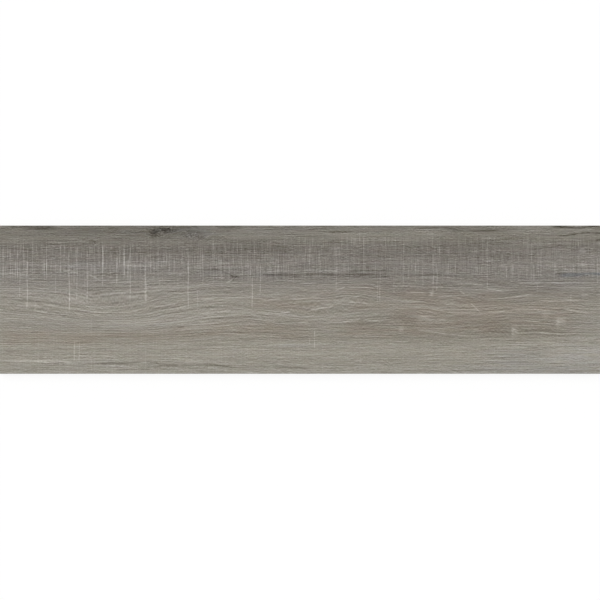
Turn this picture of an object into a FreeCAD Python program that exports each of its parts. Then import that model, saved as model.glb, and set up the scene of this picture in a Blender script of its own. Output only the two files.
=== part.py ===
import FreeCAD, Part
import math
import os
import Sketcher

# A wood look porcelain plank tile: one dry-pressed and fired slab that lies on its back.
# +X runs along the plank, +Y across it and +Z up through the printed face.
# The origin is the middle of the back, on the plane of the key ribs.

doc = FreeCAD.newDocument("wood_look_plank_tile")

# Driving dimensions, in millimetres and degrees
DIMENSIONS = {
    "plank_length": 600.0,  # printed face, end to end
    "plank_width": 148.0,  # printed face, long edge to long edge
    "plank_thickness": 9.0,  # key ribs to printed face
    "face_arris": 0.6,  # bevel that the edge grinding leaves round the printed face
    "back_bevel": 1.0,  # bevel that the die leaves round the back
    "back_margin": 10.0,  # least width of the plain rim round the key field
    "key_length": 28.3,  # one recess of the keyed back, along the plank
    "key_width": 28.3,  # the same recess, across the plank
    "key_rib": 4.0,  # rib left standing between two recesses
    "key_depth": 0.6,  # depth of a recess below the ribs
    "key_corner": 4.0,  # corner radius of a recess at its mouth
    "key_draft": 30.0,  # slope of a recess's walls, from upright
}

sheet = doc.addObject("Spreadsheet::Sheet", "Dimensions")
for row, (alias, value) in enumerate(DIMENSIONS.items(), start=1):
    sheet.set(f"A{row}", alias.replace("_", " "))
    sheet.set(f"B{row}", str(value))
    sheet.setAlias(f"B{row}", alias)
doc.recompute()

# The key field has as many recesses as fit inside the plain rim, and is centred on the back.
KEY_PITCH_X = "(Dimensions.key_length + Dimensions.key_rib)"
KEY_PITCH_Y = "(Dimensions.key_width + Dimensions.key_rib)"
FIELD_SPARE = "- 2 * Dimensions.back_margin + Dimensions.key_rib"
KEYS_ALONG = f"floor((Dimensions.plank_length {FIELD_SPARE}) / {KEY_PITCH_X})"
KEYS_ACROSS = f"floor((Dimensions.plank_width {FIELD_SPARE}) / {KEY_PITCH_Y})"
# From the middle of the field's first recess to the middle of its last
FIELD_REACH_X = f"({KEYS_ALONG} - 1) * {KEY_PITCH_X}"
FIELD_REACH_Y = f"({KEYS_ACROSS} - 1) * {KEY_PITCH_Y}"

# How a sketch numbers a line's two ends, and its own origin
START = 1
END = 2
ORIGIN = -1

QUARTER_TURN = math.pi / 2
UP = FreeCAD.Vector(0, 0, 1)


def origin_feature(body, role):
    """One of the body's own origin planes or axes, such as XY_Plane."""
    return next(f for f in body.Origin.OriginFeatures if f.Role == role)


def sketch_on_back(body, name):
    """An empty sketch on the plane of the key ribs."""
    sketch = body.newObject("Sketcher::SketchObject", name)
    sketch.AttachmentSupport = [(origin_feature(body, "XY_Plane"), "")]
    sketch.MapMode = "FlatFace"
    return sketch


def bind(sketch, constraint, dimension):
    """Adds a measured constraint to a sketch and ties it to the spreadsheet."""
    index = sketch.addConstraint(constraint)
    sketch.setExpression(f"Constraints[{index}]", f"Dimensions.{dimension}")


def round_corners(sketch, sides, centres, corner):
    """Joins the sides of a rectangle by quarter circles of one radius."""
    radius = sheet.get(corner)
    arcs = []
    for i, side in enumerate(sides):
        circle = Part.Circle(centres[i], UP, radius)
        quarter = Part.ArcOfCircle(circle, (i - 1) * QUARTER_TURN, i * QUARTER_TURN)
        arc = sketch.addGeometry(quarter)
        sketch.addConstraint(Sketcher.Constraint("Tangent", side, END, arc, START))
        sketch.addConstraint(Sketcher.Constraint("Tangent", arc, END, sides[(i + 1) % 4], START))
        arcs.append(arc)
    for arc in arcs[1:]:
        sketch.addConstraint(Sketcher.Constraint("Equal", arcs[0], arc))
    bind(sketch, Sketcher.Constraint("Radius", arcs[0], radius), corner)


def centred_rectangle(sketch, length, width, corner=None):
    """Draws a rectangle about the sketch's origin, with its corners square or round."""
    half_x = sheet.get(length) / 2
    half_y = sheet.get(width) / 2
    radius = sheet.get(corner) if corner else 0.0
    # The corners' centres run round from the south-east, as the sides run from the south.
    centres = [
        FreeCAD.Vector(half_x - radius, radius - half_y),
        FreeCAD.Vector(half_x - radius, half_y - radius),
        FreeCAD.Vector(radius - half_x, half_y - radius),
        FreeCAD.Vector(radius - half_x, radius - half_y),
    ]
    outward = [
        FreeCAD.Vector(0, -radius),
        FreeCAD.Vector(radius, 0),
        FreeCAD.Vector(0, radius),
        FreeCAD.Vector(-radius, 0),
    ]
    sides = [
        sketch.addGeometry(Part.LineSegment(centres[i - 1] + outward[i], centres[i] + outward[i]))
        for i in range(4)
    ]
    south, east, north, west = sides
    for level in (south, north):
        sketch.addConstraint(Sketcher.Constraint("Horizontal", level))
    for upright in (east, west):
        sketch.addConstraint(Sketcher.Constraint("Vertical", upright))
    if corner:
        round_corners(sketch, sides, centres, corner)
    else:
        for side, following in zip(sides, sides[1:] + sides[:1]):
            sketch.addConstraint(Sketcher.Constraint("Coincident", side, END, following, START))
    sketch.addConstraint(Sketcher.Constraint("Symmetric", south, START, north, START, ORIGIN, START))
    bind(sketch, Sketcher.Constraint("DistanceX", west, START, east, START, 2 * half_x), length)
    bind(sketch, Sketcher.Constraint("DistanceY", south, START, north, START, 2 * half_y), width)


def level_face(shape, height):
    """The name of the flat face that lies level at a height."""
    for number, face in enumerate(shape.Faces, start=1):
        box = face.BoundBox
        if abs(box.ZMin - height) < 1e-6 and abs(box.ZMax - height) < 1e-6:
            return f"Face{number}"
    raise ValueError(f"no level face at {height} mm")


def bevel(body, base, name, height, size):
    """Bevels the rim of the level face at a height, at 45 degrees."""
    doc.recompute()
    feature = body.newObject("PartDesign::Chamfer", name)
    feature.Base = (base, [level_face(base.Shape, height)])
    feature.setExpression("Size", f"Dimensions.{size}")
    return feature


plank = doc.addObject("PartDesign::Body", "PlankTile")
plank.Label = "plank_tile"

# The slab, pressed to its full thickness
outline = sketch_on_back(plank, "Outline")
centred_rectangle(outline, "plank_length", "plank_width")
slab = plank.newObject("PartDesign::Pad", "Slab")
slab.Profile = outline
slab.setExpression("Length", "Dimensions.plank_thickness")

# The two bevelled rims
arris = bevel(plank, slab, "FaceArris", sheet.plank_thickness, "face_arris")
bevel(plank, arris, "BackBevel", 0.0, "back_bevel")

# One recess of the keyed back, at the corner of the field, with walls that lean in to its floor
key_outline = sketch_on_back(plank, "KeyOutline")
key_outline.setExpression("AttachmentOffset.Base.x", f"-{FIELD_REACH_X} / 2")
key_outline.setExpression("AttachmentOffset.Base.y", f"-{FIELD_REACH_Y} / 2")
centred_rectangle(key_outline, "key_length", "key_width", "key_corner")
key = plank.newObject("PartDesign::Pocket", "Key")
key.Profile = key_outline
key.Reversed = True
key.setExpression("Length", "Dimensions.key_depth")
key.setExpression("TaperAngle", "-Dimensions.key_draft")
doc.recompute()

# The recess repeated over the whole field, which leaves the ribs standing as a grid
key_field = plank.newObject("PartDesign::LinearPattern", "KeyField")
key_field.Originals = [key]
key_field.Refine = False
key_field.Direction = (origin_feature(plank, "X_Axis"), [""])
key_field.Mode = "Extent"
key_field.setExpression("Length", FIELD_REACH_X)
key_field.setExpression("Occurrences", KEYS_ALONG)
key_field.Direction2 = (origin_feature(plank, "Y_Axis"), [""])
key_field.Mode2 = "Extent"
key_field.setExpression("Length2", FIELD_REACH_Y)
key_field.setExpression("Occurrences2", KEYS_ACROSS)
plank.Tip = key_field
doc.recompute()

# Nothing is written unless every feature came out whole.
for item in doc.Objects:
    if "Invalid" in item.State or "Error" in item.State:
        raise RuntimeError(f"{item.Name} failed: {item.State}")

pieces = [plank]
for piece in pieces:
    if piece.Shape.isNull() or not piece.Shape.isValid() or len(piece.Shape.Solids) != 1:
        raise RuntimeError(f"{piece.Label} is not one valid solid")

os.makedirs("parts", exist_ok=True)
for piece in pieces:
    piece.Shape.exportStep(os.path.join("parts", f"{piece.Label}.step"))
    box = piece.Shape.BoundBox
    volume = piece.Shape.Volume / 1000
    print(f"{piece.Label}: {box.XLength:.2f} x {box.YLength:.2f} x {box.ZLength:.2f} mm, {volume:.2f} cm3")
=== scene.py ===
import math

import bmesh
import bpy
from bpy.props import FloatProperty, FloatVectorProperty, IntProperty, PointerProperty
from mathutils import Euler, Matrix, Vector, noise


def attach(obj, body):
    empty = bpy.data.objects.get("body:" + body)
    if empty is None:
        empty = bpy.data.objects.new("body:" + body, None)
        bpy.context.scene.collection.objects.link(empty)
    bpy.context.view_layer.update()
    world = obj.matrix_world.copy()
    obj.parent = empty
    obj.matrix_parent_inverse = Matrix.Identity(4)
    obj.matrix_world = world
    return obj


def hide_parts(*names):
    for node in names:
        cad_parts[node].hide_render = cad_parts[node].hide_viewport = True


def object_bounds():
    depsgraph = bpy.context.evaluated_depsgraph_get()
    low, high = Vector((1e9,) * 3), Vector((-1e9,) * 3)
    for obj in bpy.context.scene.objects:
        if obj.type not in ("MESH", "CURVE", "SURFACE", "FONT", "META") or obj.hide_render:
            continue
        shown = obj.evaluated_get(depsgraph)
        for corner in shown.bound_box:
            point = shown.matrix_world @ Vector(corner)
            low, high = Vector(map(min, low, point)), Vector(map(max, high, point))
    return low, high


bl_info = {
    "name": "Wood Look Plank Tile",
    "version": (1, 0, 0),
    "blender": (4, 5, 0),
    "location": "View3D > Sidebar > Tile",
    "description": "Gives a porcelain plank tile its embossed, wood printed face and a white studio floor",
    "category": "Object",
}

# The fixed frame, in metres: +X along the plank, +Y across it, +Z up through the printed face
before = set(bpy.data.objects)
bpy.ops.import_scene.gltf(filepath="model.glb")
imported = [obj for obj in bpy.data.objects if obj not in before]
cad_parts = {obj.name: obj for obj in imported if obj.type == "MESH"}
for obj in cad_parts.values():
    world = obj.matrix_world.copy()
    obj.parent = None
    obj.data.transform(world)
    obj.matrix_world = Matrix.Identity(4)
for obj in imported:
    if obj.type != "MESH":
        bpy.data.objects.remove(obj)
CAD_LOW, CAD_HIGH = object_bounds()
TILE_NODE = "plank_tile"
MM = 0.001
WELD = 0.00001

# Places on the printed face are in millimetres from its middle: x along the plank, y across it.

# Saw marks are light scratches across the grain: x, the y where each ends and starts, and its tone.
# A tone is a share of mid grey by which the print is lightened or, below 0, darkened.
SAW_MARKS = (
    (-299.6, 30, 54, 0.22), (-292.4, 10, 55, 0.10), (-284.0, 18, 40, 0.14), (-282.0, 20, 52, 0.26),
    (-279.6, 0, 42, 0.22), (-272.2, -12, 42, 0.40), (-264.4, -18, 2, 0.12), (-262.0, 38, 48, 0.12),
    (-243.9, 2, 48, 0.18), (-230.4, -14, 52, 0.42), (-228.0, 14, 38, 0.18), (-225.6, 16, 34, 0.18),
    (-222.8, -5, 54, 0.28), (-215.0, 8, 30, 0.14), (-212.4, -5, 52, 0.30), (-197.0, 12, 55, 0.34),
    (-189.5, 22, 50, 0.22), (-183.0, 14, 44, 0.34), (-175.5, 24, 44, 0.22), (-172.0, 26, 40, 0.16),
    (-169.6, -8, 50, 0.32), (-165.0, 20, 37, 0.16), (-154.4, -4, 36, 0.36), (-153.4, -4, 18, 0.36),
    (-146.2, 26, 44, 0.20), (-140.0, 12, 30, 0.18), (-134.5, 44, 53, 0.12), (-130.4, 27, 47, 0.22),
    (-125.5, 27, 44, 0.28), (-118.0, 34, 46, 0.12), (-111.5, -10, 47, 0.34), (-102.4, -10, 10, 0.22),
    (-97.0, 14, 54, 0.28), (-85.4, 34, 55, 0.18), (-67.6, 34, 59, 0.14), (-51.0, 17, 37, 0.18),
    (-47.6, -12, 33, 0.32), (-43.3, 17, 36, 0.18), (-39.7, 5, 37, 0.34), (-36.0, 18, 34, 0.12),
    (-7.0, 15, 56, 0.16), (5.0, 21, 52, 0.14), (16.8, 20, 60, 0.16), (20.0, 21, 49, 0.20),
    (36.3, 9, 53, 0.18), (54.0, 33, 59, 0.12), (63.4, 33, 59, 0.12), (77.5, -4, 20, 0.18),
    (79.7, -4, 34, 0.28), (93.7, 5, 34, 0.18), (103.5, 12, 60, 0.22), (108.0, 20, 35, 0.16),
    (115.4, 16, 42, 0.22), (122.5, 12, 40, 0.24), (132.8, 6, 48, 0.38), (136.6, 8, 38, 0.32),
    (146.5, 24, 36, 0.14), (155.4, 24, 46, 0.20), (165.0, 24, 44, 0.10), (176.5, 26, 40, 0.14),
    (182.5, 25, 66, 0.24), (186.8, 8, 64, 0.28), (195.0, 20, 36, 0.18), (206.0, 21, 34, 0.24),
    (212.5, 22, 36, 0.24), (219.0, 24, 36, 0.22), (226.0, 22, 34, 0.18), (233.5, 18, 35, 0.26),
    (236.9, 6, 16, 0.18), (254.6, 25, 45, 0.16), (265.5, 18, 30, 0.14), (270.3, -5, 6, 0.18),
    (296.7, 14, 44, 0.28), (-225.2, -62, -41, 0.30), (-220.3, -63, -41, 0.26), (14.4, -50, -28, 0.32),
    (9.8, -50, -36, 0.18),
)

# Strokes along the grain: x and y at both ends, half the width, and the tone
EDGE_STREAKS = (
    (-300, 72.6, -238, 72.0, 1.4, -0.24), (-266, 70.8, -250, 70.9, 0.9, -0.14),
    (-230, 69.0, -180, 69.6, 0.9, -0.07), (-206, 64.6, -196, 63.2, 0.8, -0.15),
    (-193, 70.7, -180, 71.4, 0.9, -0.15), (-188, 60.4, -182, 60.4, 0.8, -0.12),
    (-174, 64.4, -158, 64.9, 0.9, -0.13), (-268, 56.4, -200, 55.8, 1.1, -0.13),
    (-119, 56.6, -100, 55.3, 1.0, -0.14), (-74, 68.7, -71, 68.7, 0.9, -0.15),
    (-86, 71.8, -56, 72.0, 3.0, -0.15), (-277, 71.2, -243, 70.6, 2.2, -0.07),
    (116, 70.8, 141, 72.3, 1.0, -0.16), (140, 72.4, 166, 69.0, 1.1, -0.20),
    (164, 69.2, 200, 68.0, 1.1, -0.22), (202, 70.9, 220, 70.7, 0.9, -0.20),
    (246, 72.8, 304, 72.4, 1.6, -0.33), (253, 73.0, 262, 73.0, 1.2, -0.14),
    (287, 73.0, 300, 72.4, 1.3, -0.20), (256, 63.8, 279, 64.8, 1.1, -0.34),
    (279, 66.3, 291, 66.3, 1.0, -0.26), (290, 66.2, 304, 65.6, 1.0, -0.20),
    (294, 59.6, 306, 59.4, 1.5, -0.28), (257, 65.8, 269, 65.8, 0.7, 0.10),
    (225, 53.0, 246, 58.5, 0.8, 0.10), (136, 52.6, 152, 52.4, 1.0, -0.12),
)
# The wedge of dark heart in the large knot, and the flecks about the two others
KNOT_STREAKS = (
    (-147, 69.6, -120, 72.2, 4.2, -0.08), (-152, 65.2, -130, 68.2, 4.6, -0.12),
    (-150, 63.4, -138, 64.4, 3.4, -0.09), (-136, 61.6, -127, 61.8, 1.0, -0.13),
    (-125, 69.2, -121, 69.2, 1.6, -0.14), (-145, 69.6, -138, 70.2, 1.2, 0.20),
    (-142, 66.4, -136, 67.0, 0.9, 0.14), (-139, 69.4, -130, 70.6, 0.9, -0.13),
    (-150, 64.8, -142, 65.8, 0.9, -0.14), (-122, 72.6, -100, 72.2, 1.6, -0.14),
    (-114, 62.6, -109, 64.8, 1.6, -0.12), (-103, 67.8, -99, 68.0, 1.3, -0.14),
    (-98, 60.6, -93, 61.4, 1.2, -0.12), (-96, 60.0, -84, 68.4, 0.9, 0.10),
    (-213, 61.8, -210, 58.8, 1.2, -0.13), (-208.5, 58.8, -203.5, 55.6, 1.4, -0.14),
    (-205.5, 54.2, -203.5, 54.2, 0.9, 0.20),
)
SEAM_STREAKS = (
    (-270, 28.7, -244, 28.7, 1.1, -0.12), (-95, 30.6, -78, 28.8, 1.4, -0.16),
    (-80, 28.6, -66, 24.6, 1.3, -0.15), (-70, 24.2, -60, 23.9, 1.9, -0.27),
    (-62, 24.4, -38, 24.4, 1.3, -0.15), (-67.6, 19.6, -62.4, 25.0, 1.0, -0.24),
    (-74.5, 16.6, -67, 21.0, 0.9, 0.27), (-42, 24.4, 4, 24.0, 2.5, -0.26),
    (0, 24.4, 44, 26.2, 1.9, -0.19), (0, 28.9, 40, 28.9, 1.0, 0.18),
    (-39, 28.4, 2, 28.8, 0.9, 0.16), (40, 27.6, 95, 29.2, 1.6, -0.15),
    (33, 24.8, 98, 23.8, 2.8, -0.15), (96, 24.0, 145, 24.6, 1.5, -0.16),
    (145, 24.4, 200, 24.0, 1.0, -0.10), (253, 26.2, 268, 25.8, 1.8, -0.18),
)
# Soft pale smears between the saw marks
SMEARS = (
    (-304, 25.9, -266, 27.6, 2.6, 0.04), (-281, 22.4, -265, 20.6, 1.8, 0.08),
    (-296, 35.4, -266, 34.8, 1.6, 0.05), (-275, 35.4, -236, 33.4, 2.4, 0.06),
    (-241, 34.5, -217, 33.5, 3.8, 0.03),
    (-204, 35.0, -160, 34.0, 4.6, 0.05), (-180, 34.2, -130, 35.0, 5.4, 0.08),
    (-136, 26.6, -112, 26.2, 1.9, 0.11), (-117, 29.5, -98, 34.6, 1.5, 0.09),
    (-102, 34.8, -68, 36.0, 1.9, 0.10), (176, 38.4, 266, 37.0, 4.5, 0.05),
    (188, 34.0, 260, 32.4, 3.4, 0.04), (-12, 38.0, 34, 36.4, 4.0, 0.02),
    (-302, 26.4, -272, 25.2, 0.9, 0.20), (-296, 23.0, -268, 24.0, 0.8, 0.10),
    (-285, 31.0, -262, 29.4, 0.9, 0.10), (-262, 27.4, -238, 25.8, 0.8, 0.10),
    (-236, 28.5, -214, 24.6, 0.9, 0.12), (-290, 38.6, -270, 37.6, 0.9, 0.09),
)
# Pale lines that follow the bends of the grain
RIPPLES = (
    # Left
    (-212, 25.8, -199, 18.8, 1.2, 0.16), (-201, 18.6, -152, 18.0, 1.0, 0.13),
    (-154, 18.2, -137, 21.6, 1.0, 0.09), (-140, 21.4, -121, 27.2, 1.0, 0.08),
    (-306, 11.0, -236, 9.4, 1.3, 0.06), (-218, 5.8, -148, 8.2, 1.3, 0.06),
    (-150, 8.2, -119, 11.6, 1.0, 0.07), (-122, 11.4, -82, 16.8, 1.1, 0.06),
    (-232, 4.5, -216, -4.6, 1.2, 0.08), (-219, -4.0, -200, -12.6, 1.0, 0.08),
    (-204, -12.2, -178, -17.5, 0.9, 0.06), (-304, -3.2, -254, -6.4, 0.9, 0.04),
    (-257, -6.2, -222, -13.6, 0.9, 0.04), (-228, -13.2, -196, -17.4, 0.9, 0.05),
    (-180, -16.8, -133, -11.2, 0.9, 0.04), (-137, -11.4, -94, -4.6, 0.9, 0.05),
    (-194, 17.3, -162, 17.3, 0.8, 0.10), (-158, 8.4, -137, 8.6, 1.0, 0.09),
    (-191, 4.8, -171, 7.8, 1.0, 0.08), (-121, -0.3, -100, -0.2, 0.9, 0.08),
    (-244, -22.0, -229, -27.2, 1.0, 0.09), (-229, -26.8, -208, -26.8, 0.9, 0.08),
    (-300, -8.8, -286, -8.8, 1.0, 0.09), (-287, -6.2, -257, -6.2, 0.9, 0.07),
    (-153, -13.2, -134, -13.0, 0.9, 0.08), (-135, -25.3, -100, -19.5, 0.9, 0.08),
    # Middle
    (-102, -19.7, -50, -13.2, 0.9, 0.18), (-51, -13.0, -36, -19.0, 0.9, 0.21),
    (-38, -18.6, -22, -21.6, 0.9, 0.18), (-100, 0.4, -84, 0.6, 1.2, 0.18),
    (-88, -1.6, -52, 4.8, 1.0, 0.12), (-100, -13.8, -84, -13.6, 1.0, 0.18),
    (-43, -1.2, -16, 0.7, 0.9, 0.21), (-27, -15.2, -8, -12.7, 0.9, 0.18),
    (-2, -22.8, 9, -22.2, 1.0, 0.20), (-2, 16.0, 18, 16.2, 0.9, 0.18),
    (-8, 10.3, 34, 8.4, 0.9, 0.18), (-11, 0.2, 22, 2.6, 0.9, 0.18),
    (7, -11.4, 34, -6.3, 0.9, 0.24), (34, 14.6, 44, 18.8, 1.2, 0.20),
    (34, 8.3, 46, 11.7, 0.9, 0.24), (45, 11.6, 78, 12.2, 0.9, 0.21),
    (40, 2.0, 61, 3.9, 1.0, 0.24), (44, -3.2, 75, -4.0, 0.9, 0.18),
    (50, -13.2, 66, -13.2, 0.9, 0.16), (40, -21.8, 62, -19.8, 0.9, 0.18),
    (61, -19.8, 84, -21.4, 0.9, 0.18), (-75, -35.4, -17, -35.2, 0.8, 0.12),
    # Right
    (90, 21.5, 141, 21.4, 0.9, 0.15), (90, 14.6, 124, 14.4, 0.9, 0.16),
    (103, 6.1, 128, 6.6, 0.9, 0.21), (88, -0.9, 124, -0.9, 0.8, 0.21),
    (134, 3.6, 165, 1.4, 0.9, 0.18), (141, -5.3, 173, -5.3, 0.9, 0.16),
    (130, -9.6, 146, -12.4, 0.9, 0.20), (144, -12.3, 179, -14.7, 0.9, 0.24),
    (184, -12.2, 207, -11.6, 0.9, 0.25), (206, -10.4, 262, -8.8, 0.9, 0.24),
    (260, -8.8, 292, -13.4, 0.9, 0.24), (233, -0.9, 283, -0.8, 0.8, 0.24),
    (149, 16.0, 187, 15.0, 0.9, 0.21), (184, 11.6, 205, 8.2, 0.9, 0.25),
    (159, 9.0, 165, 4.6, 1.1, 0.26), (141, 10.1, 187, 10.1, 0.9, 0.15),
    (216, 16.0, 243, 17.4, 0.9, 0.21), (243, 17.0, 296, 16.6, 0.9, 0.15),
    (257, 12.9, 296, 11.4, 0.9, 0.16), (208, 3.0, 232, 5.2, 0.9, 0.20),
    (247, 5.4, 266, 6.2, 0.9, 0.16), (280, 5.0, 288, 5.2, 1.2, 0.21),
    (206, -21.6, 224, -20.4, 0.9, 0.18), (223, -20.6, 242, -22.8, 0.9, 0.18),
    (213, -33.2, 250, -33.0, 0.9, 0.06), (117, -30.0, 150, -35.2, 1.0, 0.20),
    (146, -35.0, 184, -36.6, 0.9, 0.10), (169, -2.0, 181, -14.4, 1.7, 0.19),
)
# Dark pores among them
PORES = (
    (-284, -23.8, -271, -23.8, 0.9, -0.13), (-270, -31.8, -260, -31.8, 0.8, -0.11),
    (-208, -27.7, -198, -27.7, 1.0, -0.17), (-198, -32.0, -177, -32.0, 0.8, -0.11),
    (-123, -27.8, -115, -27.8, 0.9, -0.11), (-100, -32.0, -86, -32.0, 0.8, -0.11),
    (-80, -31.8, -55, -32.0, 0.9, -0.11), (-39, -32.4, -17, -32.4, 0.8, -0.11),
    (-6, -37.4, 15, -37.2, 0.8, -0.10), (27, -36.4, 60, -38.2, 0.9, -0.10),
    (35, 0.6, 53, 0.6, 0.8, -0.09), (184, -23.2, 201, -23.2, 0.8, -0.10),
    (164, -15.2, 173, -15.2, 0.8, -0.10), (114, -34.6, 126, -34.6, 0.9, -0.11),
    (244, -30.2, 252, -30.4, 0.9, -0.11), (154, -28.0, 176, -28.0, 0.8, -0.08),
)
# Streaks low on the plank
SAP_STREAKS = (
    (-306, -60.0, -216, -62.6, 2.0, 0.19), (-40, -44.5, 30, -44.7, 1.8, 0.10),
    (-266, -61.3, -252, -61.2, 1.6, 0.06), (-264, -45.0, -252, -45.0, 1.2, 0.10),
    (-251, -64.8, -234, -62.6, 1.2, -0.10), (-262, -64.8, -208, -66.2, 1.1, -0.11),
    (-204, -64.2, -153, -61.9, 1.4, -0.17), (-157, -62.4, -118, -64.9, 1.5, -0.16),
    (-121, -64.6, -97, -64.8, 1.3, -0.12), (-100, -64.5, -60, -67.4, 1.4, -0.20),
    (-67, -67.6, -28, -67.3, 1.1, -0.11), (-28, -67.4, 12, -67.8, 1.3, -0.21),
    (-187, -69.4, -147, -69.9, 1.2, -0.12), (-109, -70.9, -70, -71.8, 1.0, -0.11),
    (2, -64.6, 62, -66.0, 1.1, -0.13), (-235, -63.0, -50, -66.6, 1.2, -0.09),
    (96, -71.0, 205, -70.4, 1.2, -0.10), (80, -64.4, 110, -64.6, 1.0, -0.13),
)
# Broad shading, darker or lighter
SHADE_PATCHES = (
    # Upper edge
    (-300, 69, -60, 70, 7, -0.085), (-170, 68, -95, 68, 8, -0.04), (-320, 58, -195, 58, 7, 0.03),
    (-90, 63, 40, 63, 9, 0.04), (10, 64, 165, 63, 11, 0.085), (190, 70, 315, 71, 7, 0.085),
    # Saw-marked band
    (-95, 52, 10, 52, 10, -0.06), (100, 56.5, 210, 56, 8, -0.045), (-205, 49, -130, 49, 8, -0.03),
    (-320, 46, 45, 47, 8, -0.04), (-105, 46, -55, 46, 5, -0.03), (-40, 49, 35, 50, 6, -0.025),
    (30, 46, 205, 46, 8, -0.03), (230, 42, 335, 38, 14, 0.05), (35, 28, 150, 28, 9, -0.02),
    (-80, 32, -38, 33, 6, 0.04), (250, 29, 330, 29, 7, 0.055),
    # Below the seam
    (20, 16, 294, 13, 12, -0.06), (190, 10, 318, 8, 9, -0.06), (-160, 19, 60, 20, 6, -0.055),
    (5, 19, 50, 19, 7, -0.035), (-205, 7, -70, 8, 8, 0.05), (-320, 8, -185, 3, 9, 0.045),
    (-235, 5, -185, 2, 7, 0.03), (-10, 6, 115, 7, 11, -0.02), (-45, -2, 75, -3, 7, 0.045),
    (85, -9.5, 240, -10.5, 10, 0.06), (160, -16, 215, -16, 7, 0.03), (205, -12, 320, -15, 8, 0.02),
    (-125, -8, -10, -12, 6, -0.025), (-320, -13, -225, -17, 10, 0.04), (-202, -15, -130, -17, 8, 0.045),
    # Heart and sap
    (-60, -27, 120, -27, 9, -0.04), (45, -20, 125, -22, 9, -0.09), (60, -36, 275, -36, 9, -0.055),
    (120, -29, 325, -30, 16, -0.035), (175, -34, 280, -32, 9, -0.055), (-310, -33, -190, -32, 9, 0.02),
    (-245, -21, -60, -20, 9, 0.045), (-295, -62, -140, -66, 9, 0.045), (-125, -52, 90, -54, 9, 0.025),
    (-120, -60, -75, -60, 10, 0.03), (235, -53, 345, -55, 16, 0.085), (70, -14, 270, -14, 28, -0.02),
    (-310, -73, 310, -73, 2.6, 0.025), (-310, -39, 310, -39, 12, -0.02),
)
# Pale specks: x, y, half the length and half the width, and the tone
SPECKS = (
    (260, -21.8, 7.5, 8.0, 0.11), (260.5, -20.0, 6.0, 3.0, 0.09), (257.6, -22.5, 2.4, 7.0, 0.08),
    (214.4, -30.6, 4.8, 9.0, 0.13), (212.2, -31.5, 2.0, 9.0, 0.10), (245, -14.6, 6.0, 6.0, 0.09),
    (282, 48.5, 5.0, 5.0, 0.13), (101, -28.5, 4.0, 4.4, 0.12), (131.7, 6.2, 3.6, 4.4, 0.13),
    (131.4, 5.9, 1.8, 2.6, 0.12), (283, 35, 5.0, 5.0, 0.13), (124, -17.8, 9.0, 4.0, 0.11),
    (143, -20.0, 7.0, 4.0, 0.07), (245, -33.6, 8.0, 3.0, 0.07),
)
# Knots: x, y, half the length and half the width, turn in degrees, tone, and how far the grain rings it
KNOTS = (
    (-138.0, 68.5, 20.0, 9.0, 14.0, -0.10, 0.5),
    (-105.0, 63.3, 13.0, 8.0, -6.0, -0.06, 0.8),
    (-207.0, 57.6, 8.0, 4.6, -38.0, -0.03, 0.8),
)
# Where the grain dips or climbs: x, y, half the length and half the width of the bend, and its rise
BENDS = (
    (-195.0, -15.0, 118.0, 38.0, -10.0),
    (-50.0, -16.0, 48.0, 22.0, 2.6),
    (45.0, 4.0, 48.0, 18.0, 4.0),
    (160.0, -12.0, 60.0, 16.0, -1.8),
    (250.0, 4.0, 60.0, 20.0, 1.6),
)
# Patches of tint along the grain: x and y at both ends, half the width, and strength
HEART_PATCHES = (
    (-315, -37, -185, -37, 14, 0.95), (-215, -36, -85, -30, 13, 0.8), (-226, -33, -202, -35, 5, 0.5),
    (-300, -30, -246, -33, 4, 0.5), (-174, -35, -152, -37, 5, 0.4), (-130, -25, -104, -27, 4, 0.6),
    (-115, -28, 25, -30, 14, 1.0),
    (25, 9, 145, 9, 10, 0.6), (90, 5, 175, 5, 10, 0.7), (25, -29, 135, -30, 13, 0.8),
    (75, -14, 225, -14, 30, 1.0), (145, -16, 295, -14, 28, 0.9), (-60, -4, 40, -5, 10, 0.8),
    (45, -6, 95, -6, 8, 0.6), (-10, 8, 40, 6, 8, 0.5),
)
COOL_PATCHES = (
    (170, -60, 340, -60, 20, 0.9), (110, -70, 340, -72, 9, 0.5), (250, -48, 345, -48, 14, 0.5),
    (200, 20, 330, 22, 12, 0.3), (255, -26, 345, -28, 20, 0.4), (-320, 14, -185, 12, 12, 0.2),
    (-250, 35, -115, 34, 10, 0.35), (-110, 26, 0, 24, 9, 0.4), (-160, 69, -80, 66, 9, 0.6),
    (-320, 66, 40, 66, 14, 0.35), (-265, -63, -150, -66, 7, 0.3), (-320, -20, -60, -22, 14, 0.25),
    (-35, -45.5, 60, -46, 4, 0.6),
)
SLATE_STREAKS = (
    (255, 24.8, 312, 27.6, 2.6, 1.2),
)

# Fine saw scratches, in layers: how far apart they are and how long, in millimetres, and the tone
SCRATCHES = ((2.6, 20.0, 0.14), (4.2, 34.0, 0.18), (7.0, 60.0, 0.18))
SCRATCH_STEP = (31.7, 17.3)  # how far one layer is shifted from the one before
SCRATCH_HALF_WIDTH = 0.8
SAW_MARK_HALF_WIDTH = 0.75
FAINT_TO_THE_RIGHT = (-110.0, 40.0)  # the x between which the scratches grow faint
HATCH_TONES = {"fine weave": 0.060, "broad weave": 0.022}

# Layers of grain: the sizes of their cells along it, in millimetres
FLECK_RUNS = (1.5, 3.0, 6.5, 14.0)
FIBRE_RUNS = (30.0, 66.0)
LONG_RUNS = (150.0, 380.0)
# The size of their cells across it, the first layer's seed, and the step to the next one's
FLECKS = (0.96, 21.0, 7.3)
FIBRES = (0.96, 50.2, 7.3)
COARSE = (2.6, 80.0, 9.1)
THIN_STREAKS = (1.2, 140.0, 6.7)
WIDE_STREAKS = (4.5, 150.0, 5.9)

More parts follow.
